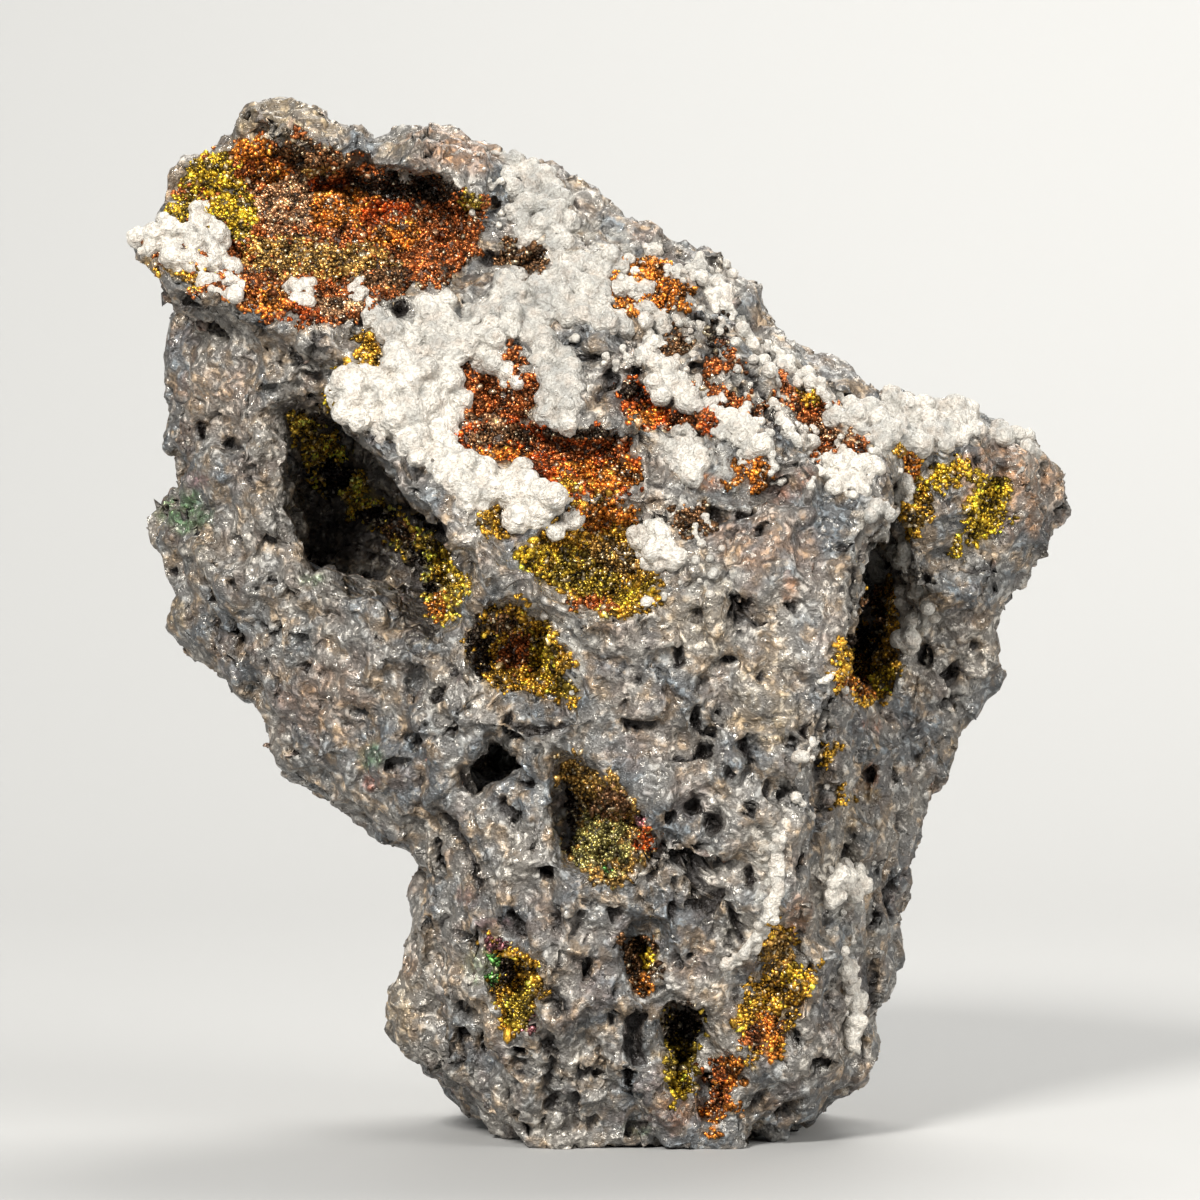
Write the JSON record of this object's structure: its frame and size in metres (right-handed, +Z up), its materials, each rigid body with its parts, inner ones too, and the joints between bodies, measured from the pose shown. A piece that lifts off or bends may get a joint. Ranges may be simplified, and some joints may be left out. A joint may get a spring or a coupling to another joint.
{
  "type": "turgite mineral specimen",
  "caption": "Turgite specimen: a porous grey iron oxide stone standing on a small flat spot, with hollows lined in gold and red crystals and grown over with white botryoidal crusts.",
  "frame": {"origin": "under the middle of the specimen's bounding box, on the surface it stands on", "axes": "+Z up, -Y is the front with the hollows and crusts, +X to the right seen from the front"},
  "size_m": [0.0804, 0.0547, 0.0878],
  "materials": {
    "stone_skin": "rough steel-grey iron oxide with tan and brown mottling, dark pores and small metallic glints",
    "crystal_crust": "tiny faceted metallic crystals, gold to orange-red, with green and pink tarnish in places",
    "white_crust": "warm white to greyish translucent balls of mineral, waxy"
  },
  "bodies": {
    "root": {"stone": "stone_skin", "crystals_upper_left_hollow": "crystal_crust", "crystals_left_cave": "crystal_crust", "crystals_middle_hollow": "crystal_crust", "crystals_red_hollow": "crystal_crust", "crystals_centre_hollow": "crystal_crust", "crystals_three_cornered_hollow": "crystal_crust", "crystals_ledge_hollow": "crystal_crust", "crystals_shoulder_column": "crystal_crust", "crystals_shoulder_patch": "crystal_crust", "crystals_side_hollow": "crystal_crust", "crystals_lower_hollow": "crystal_crust", "crystals_lower_pocket": "crystal_crust", "crystals_lower_left_hollow": "crystal_crust", "crystals_lower_right_hollow": "crystal_crust", "crystals_base_hollow": "crystal_crust", "crystals_base_slot": "crystal_crust", "white_crust_left_tip": "white_crust", "white_crust_rosette": "white_crust", "white_crust_middle": "white_crust", "white_crust_upper": "white_crust", "white_crust_right_of_middle": "white_crust", "white_crust_bands": "white_crust", "white_crust_ledge_end": "white_crust", "white_crust_shoulder": "white_crust", "white_crust_hollow_side": "white_crust", "white_crust_right_vein": "white_crust", "white_crust_lower_vein": "white_crust"}
  },
  "joints": []
}
